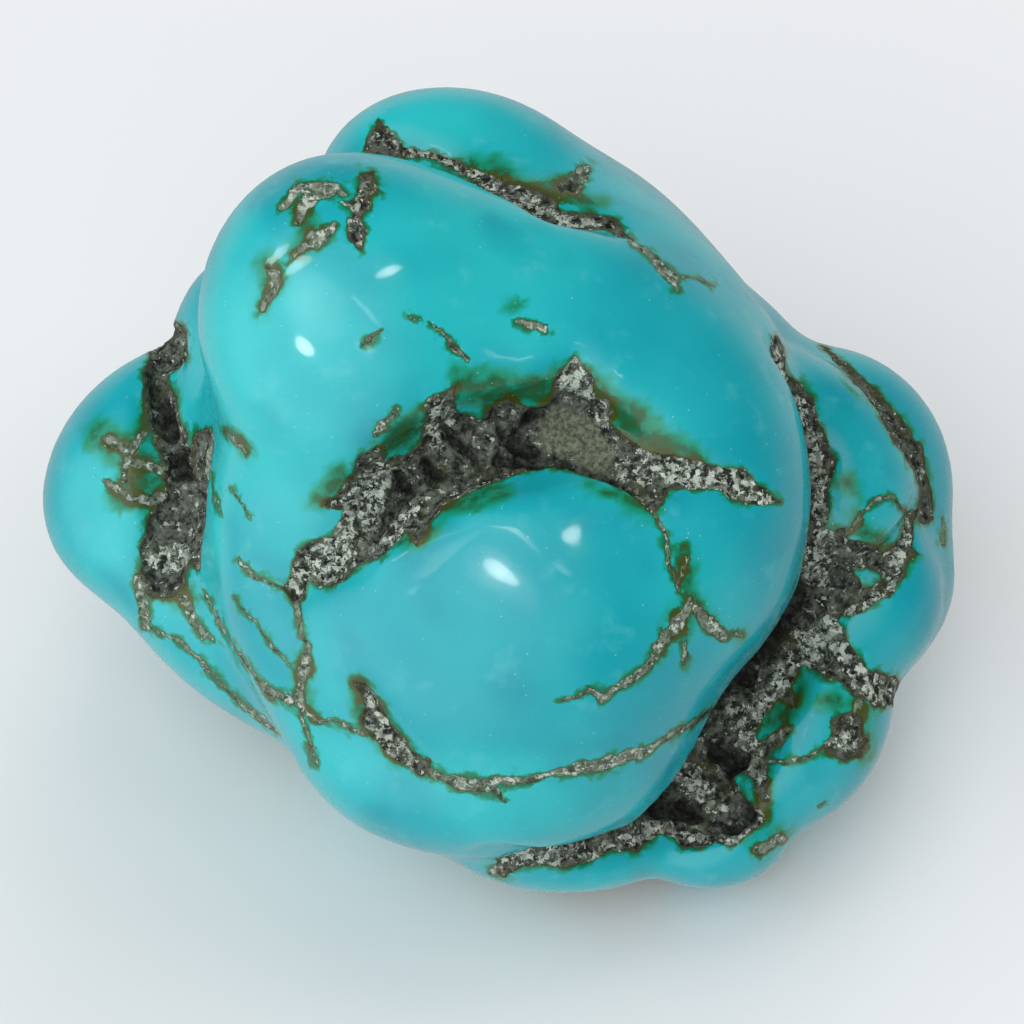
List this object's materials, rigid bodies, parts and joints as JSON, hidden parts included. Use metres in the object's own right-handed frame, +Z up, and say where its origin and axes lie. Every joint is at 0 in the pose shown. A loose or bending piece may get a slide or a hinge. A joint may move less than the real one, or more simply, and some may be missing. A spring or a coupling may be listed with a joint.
{
  "type": "raw turquoise nugget",
  "caption": "Lumpy tumble-polished turquoise stone with dark matrix-filled crevices and veins, resting on a small worn flat underneath.",
  "frame": {"origin": "the point of the floor under the middle of the stone's bounding box", "axes": "+Z up from the floor, +X along the stone's longest side, the knobbed face with the central crevice leans back and looks towards -Y"},
  "size_m": [0.0484, 0.04, 0.0377],
  "materials": {
    "turquoise": "waxy tumble polish, blue-green, with dark brown-grey matrix in the furrows"
  },
  "bodies": {
    "root": {"turquoise_nugget": "turquoise"}
  },
  "joints": []
}
